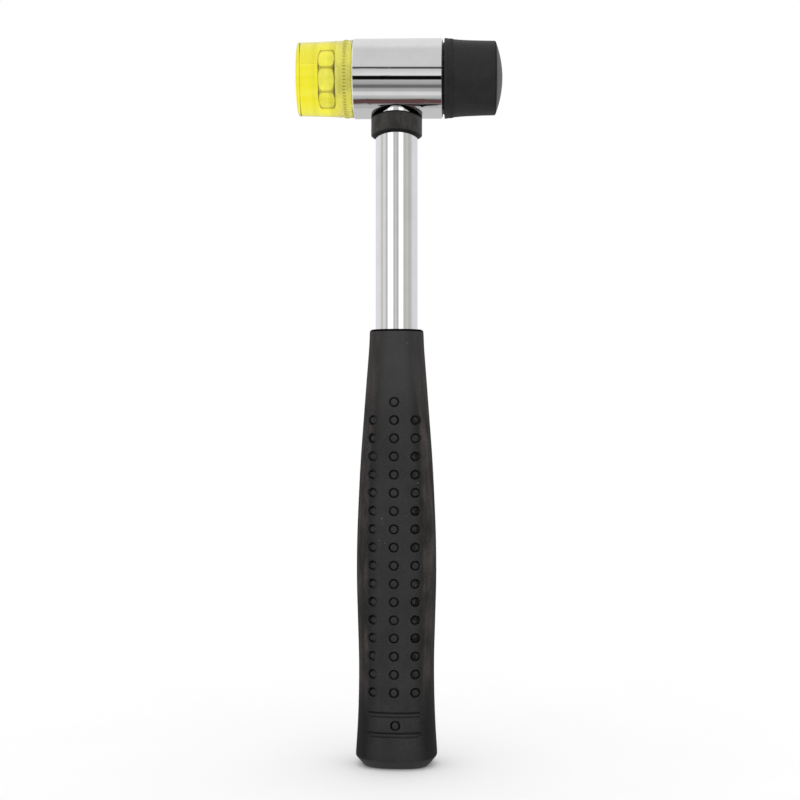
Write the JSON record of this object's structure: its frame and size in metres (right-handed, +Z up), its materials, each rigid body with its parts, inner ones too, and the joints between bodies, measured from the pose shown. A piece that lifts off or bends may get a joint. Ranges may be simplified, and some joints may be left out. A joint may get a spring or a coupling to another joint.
{
  "type": "rubber mallet",
  "caption": "Small two-faced soft mallet: chromed steel head and tube handle, clear plastic face, rubber face, rubber grip.",
  "frame": {"origin": "centre of the flat butt end of the grip, on the handle's axis", "axes": "+Z up the handle's axis towards the head, +X along the head's axis from the clear plastic face to the rubber face, Y across both"},
  "size_m": [0.0775, 0.03, 0.2756],
  "materials": {
    "chrome_head": "polished chrome plate with faint handling marks",
    "chrome_tube": "polished chrome plate",
    "collar_rubber": "matte moulded rubber",
    "grip_rubber": "satin moulded rubber with pressed rings",
    "face_rubber": "matte hard rubber",
    "clear_yellow_plastic": "polished transparent cellulose plastic, frosted next to the head",
    "zinc_nut": "bright zinc plate",
    "zinc_stud": "bright zinc plate"
  },
  "bodies": {
    "tool": {"head_barrel": "chrome_head", "handle_tube": "chrome_tube", "tube_collar": "collar_rubber", "grip_sleeve": "grip_rubber"},
    "clear_face_screw": {"clear_face_stud": "zinc_stud"},
    "clear_face_turn": {"clear_face": "clear_yellow_plastic", "clear_face_nut": "zinc_nut"},
    "rubber_face_screw": {"rubber_face_stud": "zinc_stud"},
    "rubber_face_turn": {"rubber_face": "face_rubber", "rubber_face_nut": "zinc_nut"}
  },
  "joints": [
    {"name": "clear_face_advance", "type": "slide", "parent": "tool", "child": "clear_face_screw", "axis": [-1, 0, 0], "range_m": [0, 0.0075]},
    {"name": "clear_face_spin", "type": "hinge", "parent": "clear_face_screw", "child": "clear_face_turn", "pos_m": [-0.02, 0, 0.2606], "axis": [-1, 0, 0], "range_deg": [0, 2160]},
    {"name": "rubber_face_advance", "type": "slide", "parent": "tool", "child": "rubber_face_screw", "axis": [1, 0, 0], "range_m": [0, 0.0075]},
    {"name": "rubber_face_spin", "type": "hinge", "parent": "rubber_face_screw", "child": "rubber_face_turn", "pos_m": [0.02, 0, 0.2606], "axis": [1, 0, 0], "range_deg": [0, 2160]}
  ],
  "couplings": [
    {"joint": "clear_face_advance", "follows": "clear_face_spin", "m_per_rad": 0.00019894},
    {"joint": "rubber_face_advance", "follows": "rubber_face_spin", "m_per_rad": 0.00019894}
  ]
}
